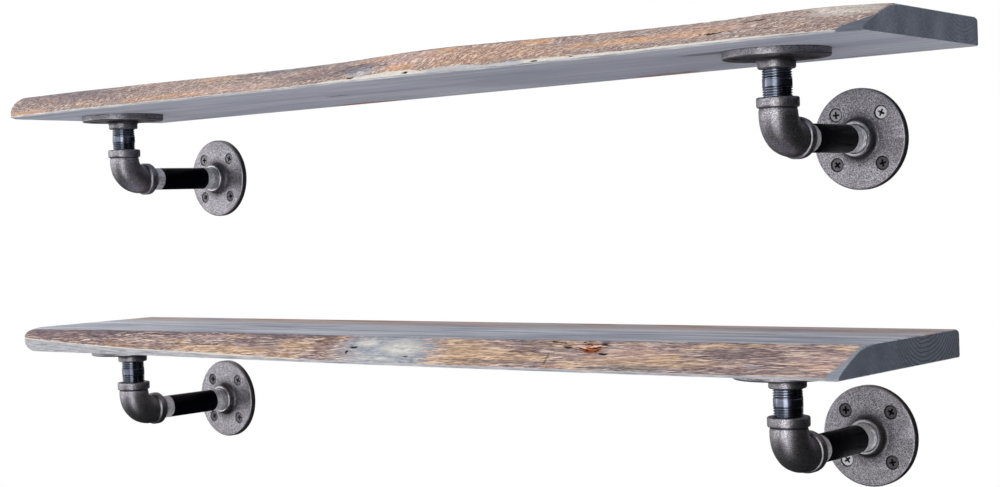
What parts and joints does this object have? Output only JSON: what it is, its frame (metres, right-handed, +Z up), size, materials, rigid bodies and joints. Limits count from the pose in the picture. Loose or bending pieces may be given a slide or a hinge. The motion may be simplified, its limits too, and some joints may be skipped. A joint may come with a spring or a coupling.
{
  "type": "pipe shelving unit",
  "caption": "Pair of wall shelves: rough live-edge planks carried on brackets of half-inch iron pipe, elbows and floor flanges.",
  "frame": {"origin": "centre of the upper left wall flange's back face, on the wall plane", "axes": "+X to the right along the wall, +Y into the wall, +Z up; the planks stand out along -Y"},
  "size_m": [0.9452, 0.2432, 0.3459],
  "materials": {
    "weathered_plank": "blue-grey weathering stain over rough-sawn softwood, bark side left brown",
    "cast_fitting": "clear-lacquered sand-cast malleable iron",
    "bright_nipple": "bare turned and threaded steel",
    "black_pipe": "glossy black paint",
    "black_screw": "black phosphate with worn bright heads"
  },
  "bodies": {
    "root": {"upper_plank": "weathered_plank", "upper_left_wall_flange": "cast_fitting", "upper_left_wall_screws": "black_screw", "upper_left_wall_pipe": "black_pipe", "upper_left_elbow": "cast_fitting", "upper_left_riser": "bright_nipple", "upper_left_shelf_flange": "cast_fitting", "upper_left_shelf_screws": "black_screw", "upper_right_wall_flange": "cast_fitting", "upper_right_wall_screws": "black_screw", "upper_right_wall_pipe": "black_pipe", "upper_right_elbow": "cast_fitting", "upper_right_riser": "bright_nipple", "upper_right_shelf_flange": "cast_fitting", "upper_right_shelf_screws": "black_screw", "lower_plank": "weathered_plank", "lower_left_wall_flange": "cast_fitting", "lower_left_wall_screws": "black_screw", "lower_left_wall_pipe": "black_pipe", "lower_left_elbow": "cast_fitting", "lower_left_riser": "bright_nipple", "lower_left_shelf_flange": "cast_fitting", "lower_left_shelf_screws": "black_screw", "lower_right_wall_flange": "cast_fitting", "lower_right_wall_screws": "black_screw", "lower_right_wall_pipe": "black_pipe", "lower_right_elbow": "cast_fitting", "lower_right_riser": "bright_nipple", "lower_right_shelf_flange": "cast_fitting", "lower_right_shelf_screws": "black_screw"}
  },
  "joints": []
}
